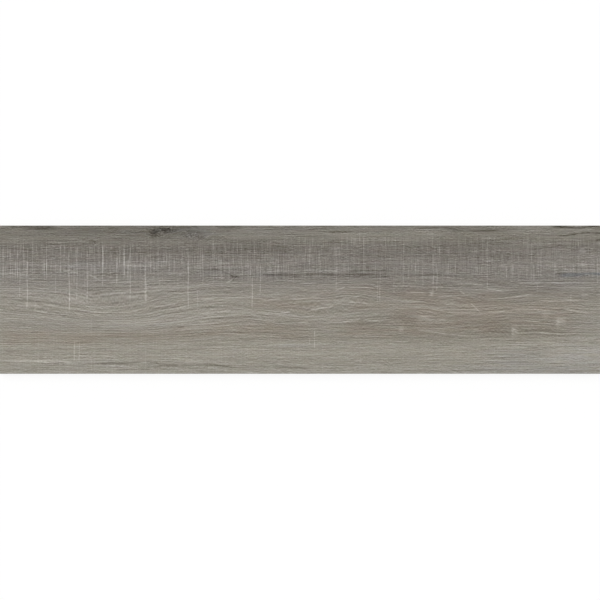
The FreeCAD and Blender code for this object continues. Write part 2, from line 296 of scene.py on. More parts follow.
# Single fields of noise: the size of their cells along and across, in millimetres, seed, and detail
FIELDS = {
    "slow wander": (130, 40, 3.1, 0.0),
    "quick wander": (34, 11, 9.7, 0.0),
    "liveliness": (34, 5.0, 67.0, 1.0),
    "contours": (90, 6, 150.0, 1.0),
    "contour stretches": (45, 6, 160.0, 0.0),
    "edge streaks": (48, 2.2, 170.0, 1.0),
    "fine weave": (0.95, 9, 39.0, 0.0),
    "broad weave": (2.8, 90, 35.0, 0.0),
    "hatch patches": (40, 16, 5.0, 1.0),
    "saw sway": (9, 16, 57.0, 0.0),
    "saw wear": (2.2, 6.0, 61.0, 1.0),
    "quick sway": (13, 9, 91.0, 1.0),
    "slow sway": (26, 9, 93.0, 0.0),
    "stroke breaks": (5.5, 1.8, 97.0, 1.0),
    "knot flecks": (2.2, 1.3, 111.0, 1.0),
    "tint edges": (40, 4, 121.0, 1.0),
    "warm flecks": (18, 4.0, 127.0, 2.0),
    "moss flecks": (18, 4.0, 135.3, 2.0),
}
# The values of a field between which it is turned into a mask
MASKS = {
    "contour stretches": (-0.1, 0.4), "edge streaks": (0.15, 0.9), "hatch patches": (-0.6, 0.5),
    "saw wear": (-0.9, 0.2), "stroke breaks": (-0.9, 0.35),
}
CONTOUR_HALF_WIDTH = 0.07  # of a pale line where the field of contours passes 0

# Heights across the plank, in millimetres, between which one kind of wood gives way to the next
SAW_STARTS = (14.0, 30.0)
SAW_STOPS = (63.0, 50.0)
UPPER_EDGE = (48.0, 60.0)
SAPWOOD = (-30.0, -46.0)
WAVY_TOP = (24.0, 12.0)
# Heights with how far from them, in millimetres, an effect has ended and is at its full strength
WANDERING_MIDDLE = (-6.0, 46.0, 14.0)
RIPPLED_MIDDLE = (-4.0, 44.0, 26.0)
SAW_CLIMB = 6.0  # how much higher the saw reached on the right half
SAW_CLIMB_SPAN = (-110.0, 50.0)  # the x between which it climbs
# How far the grain wanders by itself, in millimetres
SLOW_WANDER = 2.4
QUICK_WANDER = 0.8
SLOW_SWAY = 0.8
SAW_SWAY = 0.3

# Where strokes start to fade towards their ends: 0 is the middle and 1 the tip
BEND_FADE = 0.0
SPECK_FADE = 0.2
PATCH_FADE = 0.5
STREAK_FADE = 0.55
SMEAR_FADE = 0.65
SAW_MARK_FADE = 0.75

# Bands of colour, from the lower long edge at 0 to the upper one at 1
COLOUR_STOPS = (
    (0.00, "pale_edge"), (0.12, "sap_grey"), (0.22, "sap_grey"), (0.36, "middle_grey"),
    (0.47, "middle_grey"), (0.60, "dusk_grey"), (0.68, "seam_grey"), (0.70, "seam_grey"),
    (0.75, "sawn_light"), (0.85, "sawn_grey"), (0.92, "olive_grey"), (1.00, "shaded_edge"),
)

# Tones are added to a colour as it shows on a screen.
SCREEN_GAMMA = 2.2
NEUTRAL_INK = (0.522, 0.528, 0.534)  # how far a tone of 1 moves red, green and blue
DARKEST_INK = (0.05, 0.05, 0.05)
HEART_INK = (-0.020, -0.029, -0.033)  # what the pinkish brown of the heartwood adds
COOL_INK = (-0.006, -0.0025, 0.0085)  # what the lilac patches add
SLATE_INK = (-0.072, -0.057, -0.039)  # what the blue grey streak adds
WARM_INK = (0.0044, 0.0, -0.0044)  # what the warmest of the small flecks of hue adds
MOSS_INK = (-0.0026, 0.0052, -0.0026)  # what the greenest of them adds
MOST_TINT = 1.2  # where patches overlap
KNOT_FLECK_TONE = 0.24
RIPPLE_TONE = 0.05
EDGE_STREAK_TONE = -0.11
PORE_TONE = -0.05  # of the deepest pressed pore, because pores hold more ink
GLAZE_SPECULAR = 0.3
PRINT_BUMP = (0.6, 0.03 * MM)  # strength and depth

# The fired body: clouds and cells with specks per millimetre, and heights in millimetres above the back
CLOUD_SCALE = 0.06
SPECK_SCALE = 1.25
SPECK_RADIUS = (0.34, 0.10)  # in shares of a cell, from the edge of a speck to its dark middle
SPECK_CHOICE = (0.55, 1.0)  # of the cells' random values, those that get a speck
GRINDING = {"cell": (55.0, 0.22, 1.0), "offset": (11.0, 3.0, 0.0), "detail": 2.0}
GROUND_FROM = (0.8, 1.3)
WASH = {"cell": (38.0, 9.0, 1.0), "offset": (5.0, 7.0, 0.0), "detail": 3.0}
WASH_PATCHES = (-0.8, 0.5)
WASH_UP_TO = (0.5, 0.0)
GLAZE_EDGE = 8.4  # height of the sides, up to the arris
ENGOBE_FROM = (GLAZE_EDGE - 0.45, GLAZE_EDGE - 0.35)
GLAZE_FROM = (GLAZE_EDGE - 0.22, GLAZE_EDGE - 0.14)
BODY_SPECULAR = 0.35
BODY_BUMP = (0.5, 0.05 * MM)

# Noise pressed into the face: the size of its cells along and across, in millimetres, and its seed
PRESSED_WANDER = (150, 46, 3.1)
PRESSED_GROOVES = (42, 2.2, 8.4)
PRESSED_SWELLS = (190, 9.0, 1.7)
WANDER_BY = 1.5  # millimetres
# Shares of the depth
MEAN_DEPTH = 0.35
GROOVE_DEPTH = 0.75
SWELL_DEPTH = 0.35

# The map that the materials are baked through, as strips from its lower to its upper edge
BAKE_MAP = "OFBake"
BAKE_STRIPS = {
    "face": (0.36, 0.99), "back": (0.12, 0.34), "long side back": (0.08, 0.105),
    "long side front": (0.045, 0.07), "ends": (0.01, 0.035),
}
BAKE_MARGIN = 0.01
END_GAP = 0.1  # between the two ends in their strip, as a share of an end's width
SIDE_LIMIT = 0.2  # faces whose normal climbs less than this are sides
SHARP_ANGLE = math.radians(30)

# The stage
FLOOR_GAP = 0.1 * MM  # a hair under the tile, so that its back and the floor aren't one surface
FLOOR_WHITE = 1.06  # strength of the white that the floor shows
KEY_TURN = (-27, -22, 0)  # degrees
FILL_TURN = (142, -26, 0)


def screen(red, green, blue):
    """A colour as it shows on a screen, from 0 to 255, in the linear values that shaders take."""
    shares = (red / 255, green / 255, blue / 255)
    return tuple(c / 12.92 if c <= 0.04045 else ((c + 0.055) / 1.055) ** 2.4 for c in shares)


def colour(name, description, shown):
    """A colour that a user can change."""
    return FloatVectorProperty(
        name=name, description=description, subtype="COLOR", size=3, min=0, max=1, default=screen(*shown)
    )


def length(name, description, default):
    """A length in metres that a user can change."""
    return FloatProperty(
        name=name, description=description, default=default, min=0, precision=5,
        subtype="DISTANCE", unit="LENGTH",
    )


def camera_length(name, description, default):
    """A length in the camera, in millimetres, that a user can change."""
    return FloatProperty(
        name=name, description=description, default=default, min=1, subtype="DISTANCE_CAMERA", unit="CAMERA"
    )


def factor(name, description, default, top=1.0):
    """A plain number that a user can change."""
    return FloatProperty(
        name=name, description=description, default=default, min=0, max=top, subtype="FACTOR"
    )


class PlankFaceSettings(bpy.types.PropertyGroup):
    """The mesh of the printed face."""

    columns: IntProperty(name="Columns", description="Quads along the plank", default=375, min=8)
    rows: IntProperty(name="Rows", description="Quads across the plank", default=225, min=8)
    emboss_depth: length("Emboss Depth", "Depth of the deepest pressed grain", 0.00018)
    plain_rim: length("Plain Rim", "Width over which the grain fades at the edges", 0.003)


class WoodPrintSettings(bpy.types.PropertyGroup):
    """The wood print, from the shaded long edge down to the pale one."""

    shaded_edge: colour("Shaded Edge", "Dark olive grey along the upper long edge", (121.9, 117.5, 108.8))
    olive_grey: colour("Olive Grey", "Olive grey above the saw marks", (125.8, 121.5, 111.7))
    sawn_grey: colour("Sawn Grey", "Lilac grey of the band with the saw marks", (119.0, 114.0, 106.5))
    sawn_light: colour("Sawn Light", "Paler lilac grey low in the saw-marked band", (126.8, 121.7, 114.8))
    seam_grey: colour("Seam Grey", "Dark seam below the saw-marked band", (128, 123.4, 116.5))
    dusk_grey: colour("Dusk Grey", "Lilac grey between the seam and the wavy middle", (139.2, 134.3, 126.4))
    middle_grey: colour("Middle Grey", "Grey of the wavy middle", (145.9, 140.9, 130.9))
    sap_grey: colour("Sap Grey", "Palest grey, of the sapwood", (151.3, 146.5, 135.6))
    pale_edge: colour("Pale Edge", "Cooler pale grey along the lower long edge", (150.6, 146.5, 136.6))
    contrast: factor("Contrast", "Strength of the printed grain", 1.0, 4.0)
    roughness: factor("Roughness", "Mean roughness of the matte glaze", 0.62)


class FiredBodySettings(bpy.types.PropertyGroup):
    """The bare porcelain of the edges and the back."""

    clay: colour("Clay", "Fired porcelain body", (184, 174, 160))
    speck: colour("Speck", "Dark grains in the body", (120, 110, 98))
    kiln_wash: colour("Kiln Wash", "Chalky wash that the kiln leaves on the key ribs", (224, 220, 212))
    engobe: colour("Engobe", "Pale layer under the glaze, seen as a line on the sides", (222, 218, 209))
    glaze_edge: colour("Glaze Edge", "The glaze's own edge, at the top of the sides", (134, 129, 120))
    roughness: factor("Roughness", "Mean roughness of the bare body", 0.78)


class StudioSettings(bpy.types.PropertyGroup):
    """The floor, the light and the camera."""

    floor_size: length("Floor Size", "Side of the square floor", 12.0)
    floor_colour: colour("Floor", "Pale floor", (236, 236, 236))
    floor_glow: factor("Floor Glow", "Share of the floor that shows as plain white", 0.8)
    sky: factor("Sky", "Strength of the even light from all round", 0.62, 4.0)
    key: factor("Key", "Strength of the soft light from above the upper left corner", 1.2, 20.0)
    key_spread: FloatProperty(
        name="Key Spread", description="Angle that the soft light fills", default=math.radians(50),
        min=0, max=math.pi, subtype="ANGLE", unit="ROTATION",
    )
    fill: factor("Fill", "Strength of the weak light that shows the underside", 0.5, 20.0)
    view_span: length("View Span", "Width of the face that fills the frame", 0.5988)
    view_drop: length("View Drop", "How far below the middle of the face the camera aims", 0.00034)
    lens: camera_length("Lens", "Focal length", 100.0)
    sensor: camera_length("Sensor", "Sensor width", 36.0)


# Node wiring


class Wiring:
    """Adds nodes to one tree. Each value it is given is either a socket to link or a constant to set."""

    MIX_SOCKETS = {"VECTOR": (4, 5, 1), "RGBA": (6, 7, 2)}

    def __init__(self, tree):
        self.tree = tree

    def feed(self, socket, value):
        if isinstance(value, bpy.types.NodeSocket):
            self.tree.links.new(value, socket)
        elif socket.type == "RGBA" and len(value) == 3:
            socket.default_value = (*value, 1.0)
        else:
            socket.default_value = value

    def add(self, kind, values=(), **settings):
        """A node with its settings made and its first inputs fed in order."""
        node = self.tree.nodes.new(kind)
        for name, value in settings.items():
            setattr(node, name, value)
        for socket, value in zip(node.inputs, values):
            self.feed(socket, value)
        return node

    def fill(self, node, **values):
        """Feeds a node's inputs by their names, and gives its outputs."""
        for name, value in values.items():
            self.feed(node.inputs[name.replace("_", " ").title()], value)
        return node.outputs

    def group(self, tree, **values):
        """A placed node group's outputs, with its named inputs fed."""
        return self.fill(self.add("ShaderNodeGroup", node_tree=tree), **values)

    def maths(self, operation, *values):
        return self.add("ShaderNodeMath", values, operation=operation).outputs[0]

    def times(self, first, second):
        return self.maths("MULTIPLY", first, second)

    def plus(self, total, value, share):
        """A total with a share of a value added to it."""
        return self.maths("MULTIPLY_ADD", value, share, total)

    def vector_maths(self, operation, *values):
        return self.add("ShaderNodeVectorMath", values, operation=operation).outputs[0]

    def scale(self, vector, size):
        return self.fill(self.add("ShaderNodeVectorMath", (vector,), operation="SCALE"), scale=size)[0]

    def smooth(self, value, start, end):
        """0 at start and 1 at end, eased between."""
        return self.add(
            "ShaderNodeMapRange", (value, start, end), interpolation_type="SMOOTHSTEP", clamp=False
        ).outputs[0]

    def vector(self, x, y, z=0.0):
        return self.add("ShaderNodeCombineXYZ", (x, y, z)).outputs[0]

    def split(self, vector):
        return self.add("ShaderNodeSeparateXYZ", (vector,)).outputs

    def mix(self, kind, share, first, second):
        node = self.add("ShaderNodeMix", (share,), data_type=kind)
        start, end, result = self.MIX_SOCKETS[kind]
        self.feed(node.inputs[start], first)
        self.feed(node.inputs[end], second)
        return node.outputs[result]

    def in_cells(self, given):
        """A group's point, counted in its cells."""
        node = self.add("ShaderNodeMapping", (given["Point"], given["Offset"]), vector_type="TEXTURE")
        return self.fill(node, scale=given["Cell"])[0]

    def flat_noise(self, point, detail, roughness):
        """Noise from 0 to 1, in cells of size 1."""
        node = self.add("ShaderNodeTexNoise", (point,), noise_dimensions="2D")
        return self.fill(node, scale=1.0, detail=detail, roughness=roughness)[0]

    def object_place(self):
        """A place on the piece in millimetres."""
        return self.scale(self.add("ShaderNodeTexCoord").outputs["Object"], 1 / MM)

    def bump(self, strength_and_depth, height):
        """A normal that is bumped by a height."""
        return self.fill(self.add("ShaderNodeBump", strength_and_depth), height=height)["Normal"]


def start_group(name, inputs, outputs):
    """An empty node group with its sockets made, as its tree, its wiring, its inputs and its outputs."""
    tree = bpy.data.node_groups.new(name, "ShaderNodeTree")
    for in_out, sockets in (("INPUT", inputs), ("OUTPUT", outputs)):
        for socket, kind in sockets.items():
            tree.interface.new_socket(socket, in_out=in_out, socket_type=kind)
    entry = tree.nodes.new("NodeGroupInput")
    leave = tree.nodes.new("NodeGroupOutput")
    return tree, Wiring(tree), entry.outputs, leave.inputs


NUMBER = "NodeSocketFloat"
POINT = "NodeSocketVector"
CELLS = {"Point": POINT, "Cell": POINT, "Offset": POINT}


def grain_group():
    """Noise from about -1 to 1, in cells of a size in millimetres that is longer along the grain."""
    tree, wires, given, gives = start_group("stretched_grain", {**CELLS, "Detail": NUMBER}, {"Value": NUMBER})
    pattern = wires.flat_noise(wires.in_cells(given), given["Detail"], 0.8)
    wires.feed(gives["Value"], wires.plus(-1.6, pattern, 3.2))
    return tree


def fibre_group():
    """Grain whose lines differ from their neighbours: the noise less the same noise one line over."""
    tree, wires, given, gives = start_group("crisp_fibre", CELLS, {"Value": NUMBER})
    line = wires.in_cells(given)
    next_line = wires.vector_maths("ADD", line, (0.0, 1.2, 0.0))
    here, beside = (wires.flat_noise(spot, 0.0, 0.5) for spot in (line, next_line))
    wires.feed(gives["Value"], wires.times(wires.maths("SUBTRACT", here, beside), 1.7))
    return tree


def stroke_group():
    """A soft-edged stroke along one coordinate, climbing by Slope in the other: 1 inside, 0 outside."""
    tree, wires, given, gives = start_group(
        "stroke",
        {
            "Along": NUMBER, "Across": NUMBER, "Middle Along": NUMBER, "Middle Across": NUMBER,
            "Half Length": NUMBER, "Half Width": NUMBER, "Slope": NUMBER, "Fade": NUMBER,
        },
        {"Mask": NUMBER},
    )
    along = wires.maths("SUBTRACT", given["Along"], given["Middle Along"])
    across = wires.maths("SUBTRACT", given["Across"], given["Middle Across"])
    climbed = wires.maths("SUBTRACT", across, wires.times(along, given["Slope"]))
    beside = wires.maths("DIVIDE", wires.maths("ABSOLUTE", climbed), given["Half Width"])
    beyond = wires.maths("DIVIDE", wires.maths("ABSOLUTE", along), given["Half Length"])
    line = wires.smooth(beside, 1.0, 0.0)
    ends = wires.smooth(beyond, 1.0, given["Fade"])
    wires.feed(gives["Mask"], wires.times(line, ends))
    return tree


def scratch_group():
    """Thin lines across the grain, one in each cell of a stretched foam and each with its own strength."""
    tree, wires, given, gives = start_group("saw_scratch", {**CELLS, "Half Width": NUMBER}, {"Mask": NUMBER})
    place = wires.in_cells(given)
    foam = wires.fill(wires.add("ShaderNodeTexVoronoi", (place,), voronoi_dimensions="2D"), scale=1.0)
    strength = wires.smooth(wires.split(foam["Color"])[0], 0.2, 1.0)
    aside = wires.vector_maths("SUBTRACT", place, foam["Position"])
    u, v, _ = wires.split(wires.vector_maths("ABSOLUTE", aside))
    line = wires.smooth(u, given["Half Width"], 0.0)
    ends = wires.smooth(v, 0.60, 0.30)
    wires.feed(gives["Mask"], wires.times(wires.times(line, ends), strength))
    return tree


def knot_group():
    """Bends the grain into rings round a knot, and gives the knot's mask."""
    tree, wires, given, gives = start_group(
        "knot",
        {
            "Flow": POINT, "Point": POINT, "Middle": POINT, "Half Length": NUMBER, "Half Width": NUMBER,
            "Turn": NUMBER, "Rings": NUMBER,
        },
        {"Flow": POINT, "Mask": NUMBER},
    )
    aside = wires.vector_maths("SUBTRACT", given["Point"], given["Middle"])
    turn = wires.add("ShaderNodeVectorRotate", (aside,), rotation_type="Z_AXIS")
    turned = wires.fill(turn, angle=given["Turn"])[0]
    size = wires.vector(given["Half Length"], given["Half Width"], 1.0)
    oval = wires.vector_maths("DIVIDE", turned, size)
    u, v, _ = wires.split(oval)
    reach = wires.add("ShaderNodeVectorMath", (oval,), operation="LENGTH").outputs["Value"]
    angle = wires.maths("ABSOLUTE", wires.maths("ARCTAN2", v, u))
    round_ring = wires.times(angle, given["Half Width"])
    out_ring = wires.times(reach, given["Half Width"])
    rings = wires.vector_maths("ADD", wires.vector(round_ring, out_ring), given["Middle"])
    mask = wires.smooth(reach, 1.1, 0.3)
    share = wires.times(mask, given["Rings"])
    wires.feed(gives["Flow"], wires.mix("VECTOR", share, given["Flow"], rings))
    wires.feed(gives["Mask"], mask)
    return tree


# Materials


def new_material(name):
    """A material with a plain Principled shader, as the material, its wiring and its shader."""
    material = bpy.data.materials.new(name)
    material.use_nodes = True
    return material, Wiring(material.node_tree), material.node_tree.nodes["Principled BSDF"]


class WoodPrint:
    """Draws the wood print in a material's nodes. Each tone is a share of mid grey that it adds or takes."""

    def __init__(self, wires, groups):
        self.wires = wires
        self.groups = groups
        self.maths = wires.maths
        self.times = wires.times
        self.plus = wires.plus
        self.x, self.y, _ = wires.split(wires.object_place())
        self.point = wires.vector(self.x, self.y)
        self.pressed = wires.add("ShaderNodeAttribute", attribute_name="emboss").outputs["Fac"]

    def noise_at(self, kind, where, run, wide, seed, **more):
        """Noise at a point, in cells of a size in millimetres. The seed picks a stretch of it."""
        shift = (-seed * run, -seed * wide, 0.0)
        group = self.groups[kind]
        return self.wires.group(group, point=where, cell=(run, wide, 1.0), offset=shift, **more)["Value"]

    def field(self, where, name):
        """A single field of noise at a point."""
        run, wide, seed, detail = FIELDS[name]
        return self.noise_at("grain", where, run, wide, seed, detail=detail)

    def mask(self, where, name):
        """A field of noise at a point, turned into a mask from 0 to 1."""
        return self.wires.smooth(self.field(where, name), *MASKS[name])

    def layers(self, kind, runs, wide, seed, step, **more):
        """Layers of grain of several lengths, added up."""
        total = 0.0
        for i, run in enumerate(runs):
            layer = self.noise_at(kind, self.flow, run, wide, seed + step * i, **more)
            total = self.maths("ADD", layer, total)
        return total

    def zone(self, heights):
        """0 at the first of two heights across the plank and 1 at the second."""
        return self.wires.smooth(self.y, *heights)

    def near(self, height, far, close):
        """1 close to a height across the plank and 0 far from it."""
        apart = self.maths("ABSOLUTE", self.maths("SUBTRACT", self.y, height))
        return self.wires.smooth(apart, far, close)

    def stroke(self, where, start_x, start_y, end_x, end_y, half_width, fade):
        """The mask of a soft stroke from one place to another. Where is a pair, along and across."""
        placed = self.wires.group(
            self.groups["stroke"], along=where[0], across=where[1],
            middle_along=(start_x + end_x) / 2, middle_across=(start_y + end_y) / 2,
            half_length=abs(end_x - start_x) / 2, half_width=half_width,
            slope=(end_y - start_y) / (end_x - start_x), fade=fade,
        )
        return placed["Mask"]

    def strokes(self, where, rows, fade):
        """The strokes of a list, each at its own strength, added up."""
        total = 0.0
        for *line, strength in rows:
            total = self.plus(total, self.stroke(where, *line, fade), strength)
        return total

    def draw_flow(self):
        """The grain's own coordinates, which follow its bends and run in rings round the knots."""
        bends = [(x - size, y, x + size, y, wide, height) for x, y, size, wide, height in BENDS]
        rise = self.strokes((self.x, self.y), bends, BEND_FADE)
        lively = self.plus(0.25, self.near(*WANDERING_MIDDLE), 0.75)
        wander = self.times(self.field(self.point, "slow wander"), SLOW_WANDER)
        wander = self.plus(wander, self.field(self.point, "quick wander"), QUICK_WANDER)
        wander = self.times(wander, lively)
        flow_y = self.maths("SUBTRACT", self.maths("SUBTRACT", self.y, rise), wander)
        self.flow = self.wires.vector(self.x, flow_y)
        # The colours bend only half as far as the grain.
        self.band_y = self.plus(flow_y, rise, 0.5)
        self.knot_tone = 0.0
        self.knot_mask = 0.0
        for x, y, half_length, half_width, turn, tone, rings in KNOTS:
            knot = self.wires.group(
                self.groups["knot"], flow=self.flow, point=self.point, middle=(x, y, 0.0),
                half_length=half_length, half_width=half_width, turn=math.radians(-turn), rings=rings,
            )
            self.flow = knot["Flow"]
            self.knot_tone = self.plus(self.knot_tone, knot["Mask"], tone)
            self.knot_mask = self.maths("ADD", knot["Mask"], self.knot_mask)

    def draw_zones(self):
        """Masks of the parts of the plank that differ in their grain."""
        self.upper = self.zone(SAW_STARTS)
        higher = self.plus(self.y, self.wires.smooth(self.x, *SAW_CLIMB_SPAN), -SAW_CLIMB)
        self.sawn = self.times(self.upper, self.wires.smooth(higher, *SAW_STOPS))
        self.low = self.zone(SAPWOOD)
        self.top = self.zone(UPPER_EDGE)
        self.wavy = self.times(self.zone(SAPWOOD[::-1]), self.zone(WAVY_TOP))

    def draw_grain(self):
        """Grain of every length, from short flecks to streaks as long as the plank."""
        flecks = self.layers("fibre", FLECK_RUNS, *FLECKS)
        fibres = self.layers("fibre", FIBRE_RUNS, *FIBRES)
        coarse = self.layers("grain", FLECK_RUNS + FIBRE_RUNS, *COARSE, detail=1.0)
        streaks = self.layers("grain", LONG_RUNS, *THIN_STREAKS, detail=0.0)
        streaks = self.plus(streaks, self.layers("grain", LONG_RUNS, *WIDE_STREAKS, detail=0.0), 0.26)
        # Each gain is a value of its own and what a part of the plank adds to it.
        fine_gain = self.plus(0.070, self.low, -0.010)
        fleck_gain = self.plus(fine_gain, self.top, -0.007)
        fibre_gain = self.plus(fine_gain, self.upper, -0.027)
        coarse_gain = self.plus(0.018, self.low, 0.006)
        streak_gain = self.plus(0.020, self.wavy, 0.030)
        grain = self.plus(self.times(flecks, fleck_gain), fibres, fibre_gain)
        grain = self.plus(grain, coarse, coarse_gain)
        # Away from the wavy middle and the knots, calm stretches lie between lively ones.
        uneven = self.plus(self.plus(0.50, self.top, 0.30), self.wavy, -0.30)
        uneven = self.times(uneven, self.wires.smooth(self.knot_mask, 0.6, 0.0))
        lively = self.plus(1.0, self.field(self.flow, "liveliness"), uneven)
        grain = self.times(grain, self.maths("MAXIMUM", lively, 0.25))
        self.grain = self.plus(grain, streaks, streak_gain)

    def draw_lines(self):
        """Wandering pale lines in the middle of the plank, and dark streaks near its upper edge."""
        contour = self.maths("ABSOLUTE", self.field(self.flow, "contours"))
        line = self.wires.smooth(contour, CONTOUR_HALF_WIDTH, 0.0)
        line = self.times(line, self.mask(self.flow, "contour stretches"))
        self.ripple = self.times(line, self.near(*RIPPLED_MIDDLE))
        self.dark_streak = self.times(self.mask(self.flow, "edge streaks"), self.top)

    def draw_saw_marks(self):
        """The fine hatch of the saw-marked band, and the single marks that cross the grain."""
        hatch = 0.0
        for i, (apart, run, tone) in enumerate(SCRATCHES):
            scratch = self.wires.group(
                self.groups["scratch"], point=self.point, cell=(apart, run, 1.0),
                offset=(-SCRATCH_STEP[0] * i, -SCRATCH_STEP[1] * i, 0.0),
                half_width=SCRATCH_HALF_WIDTH / apart,
            )
            hatch = self.plus(hatch, scratch["Mask"], tone)
        # They grow faint to the right, where a fine weave is left.
        right = self.wires.smooth(self.x, *FAINT_TO_THE_RIGHT)
        hatch = self.times(hatch, self.plus(1.0, right, -0.42))
        for name, tone in HATCH_TONES.items():
            hatch = self.plus(hatch, self.field(self.point, name), tone)
        patches = self.mask(self.point, "hatch patches")
        strength = self.times(self.sawn, self.plus(0.50, patches, 0.60))
        everywhere = self.plus(0.16, self.low, 0.07)
        self.hatch = self.times(hatch, self.maths("ADD", strength, everywhere))
        # With x and y exchanged, a mark across the grain is a stroke like any other.
        swayed_x = self.plus(self.x, self.field(self.point, "saw sway"), SAW_SWAY)
        rows = [(low, x, high, x, SAW_MARK_HALF_WIDTH, tone) for x, low, high, tone in SAW_MARKS]
        marks = self.strokes((self.y, swayed_x), rows, SAW_MARK_FADE)
        self.saw_marks = self.times(marks, self.plus(0.22, self.mask(self.point, "saw wear"), 0.54))

    def draw_strokes(self):
        """Streaks, cracks, ripples and specks that are placed one by one."""
        ragged_y = self.maths("ADD", self.y, self.field(self.point, "quick sway"))
        ragged = self.strokes((self.x, ragged_y), KNOT_STREAKS + SMEARS, SMEAR_FADE)
        specks = [(x - size, y, x + size, y, wide, tone) for x, y, size, wide, tone in SPECKS]
        ragged = self.maths("ADD", self.strokes((self.x, ragged_y), specks, SPECK_FADE), ragged)
        calm_y = self.plus(self.y, self.field(self.point, "slow sway"), SLOW_SWAY)
        rows = EDGE_STREAKS + SEAM_STREAKS + RIPPLES + PORES + SAP_STREAKS
        whole = self.strokes((self.x, calm_y), rows, STREAK_FADE)
        broken = self.mask(self.point, "stroke breaks")
        whole = self.times(whole, self.plus(0.78, broken, 0.30))
        self.placed = self.plus(whole, ragged, self.plus(0.65, broken, 0.50))
        self.shading = self.strokes((self.x, self.band_y), SHADE_PATCHES, PATCH_FADE)

    def add_up(self):
        """Every tone of the print, added up."""
        knot_flecks = self.times(self.field(self.point, "knot flecks"), self.knot_mask)
        total = self.plus(self.knot_tone, knot_flecks, KNOT_FLECK_TONE)
        total = self.maths("ADD", total, self.grain)
        total = self.plus(total, self.ripple, RIPPLE_TONE)
        total = self.plus(total, self.dark_streak, EDGE_STREAK_TONE)
        total = self.plus(total, self.pressed, PORE_TONE)
        for tone in (self.hatch, self.saw_marks, self.placed, self.shading):
            total = self.maths("ADD", total, tone)
        return total

    def draw_colour(self, settings):
        """The bands of colour across the plank."""
        ramp = self.wires.add("ShaderNodeValToRGB")
        ramp.color_ramp.interpolation = "LINEAR"
        width = (CAD_HIGH.y - CAD_LOW.y) / MM
        self.wires.feed(ramp.inputs[0], self.plus(0.5, self.band_y, 1 / width))
        while len(ramp.color_ramp.elements) < len(COLOUR_STOPS):
            ramp.color_ramp.elements.new(1.0)
        for element, (position, name) in zip(ramp.color_ramp.elements, COLOUR_STOPS):
            element.position = position
            element.color = (*getattr(settings, name), 1.0)
        return ramp.outputs["Color"]

    def draw_tints(self):
        """Patches of warmer, cooler and bluer ink, as what they add to a colour on a screen."""
        ragged = self.plus(1.1, self.field(self.flow, "tint edges"), 1.1)
        inks = []
        for rows, ink in ((HEART_PATCHES, HEART_INK), (COOL_PATCHES, COOL_INK), (SLATE_STREAKS, SLATE_INK)):
            patches = self.times(self.strokes((self.x, self.band_y), rows, PATCH_FADE), ragged)
            inks.append(self.wires.scale(ink, self.maths("MINIMUM", patches, MOST_TINT)))
        for name, ink in (("warm flecks", WARM_INK), ("moss flecks", MOSS_INK)):
            inks.append(self.wires.scale(ink, self.field(self.flow, name)))
        tint = inks[0]
        for added in inks[1:]:
            tint = self.wires.vector_maths("ADD", added, tint)
        return tint

    def ink(self, shade, tint, tone):
        """A colour with a tint and a tone added as they show on a screen. A tone leaves the hue as it is."""
        wires = self.wires
        shown = wires.add("ShaderNodeGamma", (shade, 1 / SCREEN_GAMMA)).outputs[0]
        tinted = wires.vector_maths("ADD", shown, tint)
        lifted = wires.vector_maths("ADD", tinted, wires.scale(NEUTRAL_INK, tone))
        bounded = wires.vector_maths("MAXIMUM", lifted, DARKEST_INK)
        return wires.add("ShaderNodeGamma", (bounded, SCREEN_GAMMA)).outputs[0]


def print_material(settings, groups):
    """The matte glaze with its wood print."""
    material, wires, shader = new_material("wood_print")
    art = WoodPrint(wires, groups)
    art.draw_flow()
    art.draw_zones()
    art.draw_grain()
    art.draw_lines()
    art.draw_saw_marks()
    art.draw_strokes()
    tone = wires.times(art.add_up(), settings.contrast)
    uneven = wires.plus(settings.roughness, art.grain, -0.5)
    wires.fill(
        shader,
        base_color=art.ink(art.draw_colour(settings), art.draw_tints(), tone),
        roughness=wires.plus(uneven, art.pressed, 0.06),
        normal=wires.bump(PRINT_BUMP, wires.plus(art.hatch, art.grain, 4.0)),
    )
    shader.inputs["Specular IOR Level"].default_value = GLAZE_SPECULAR
    return material


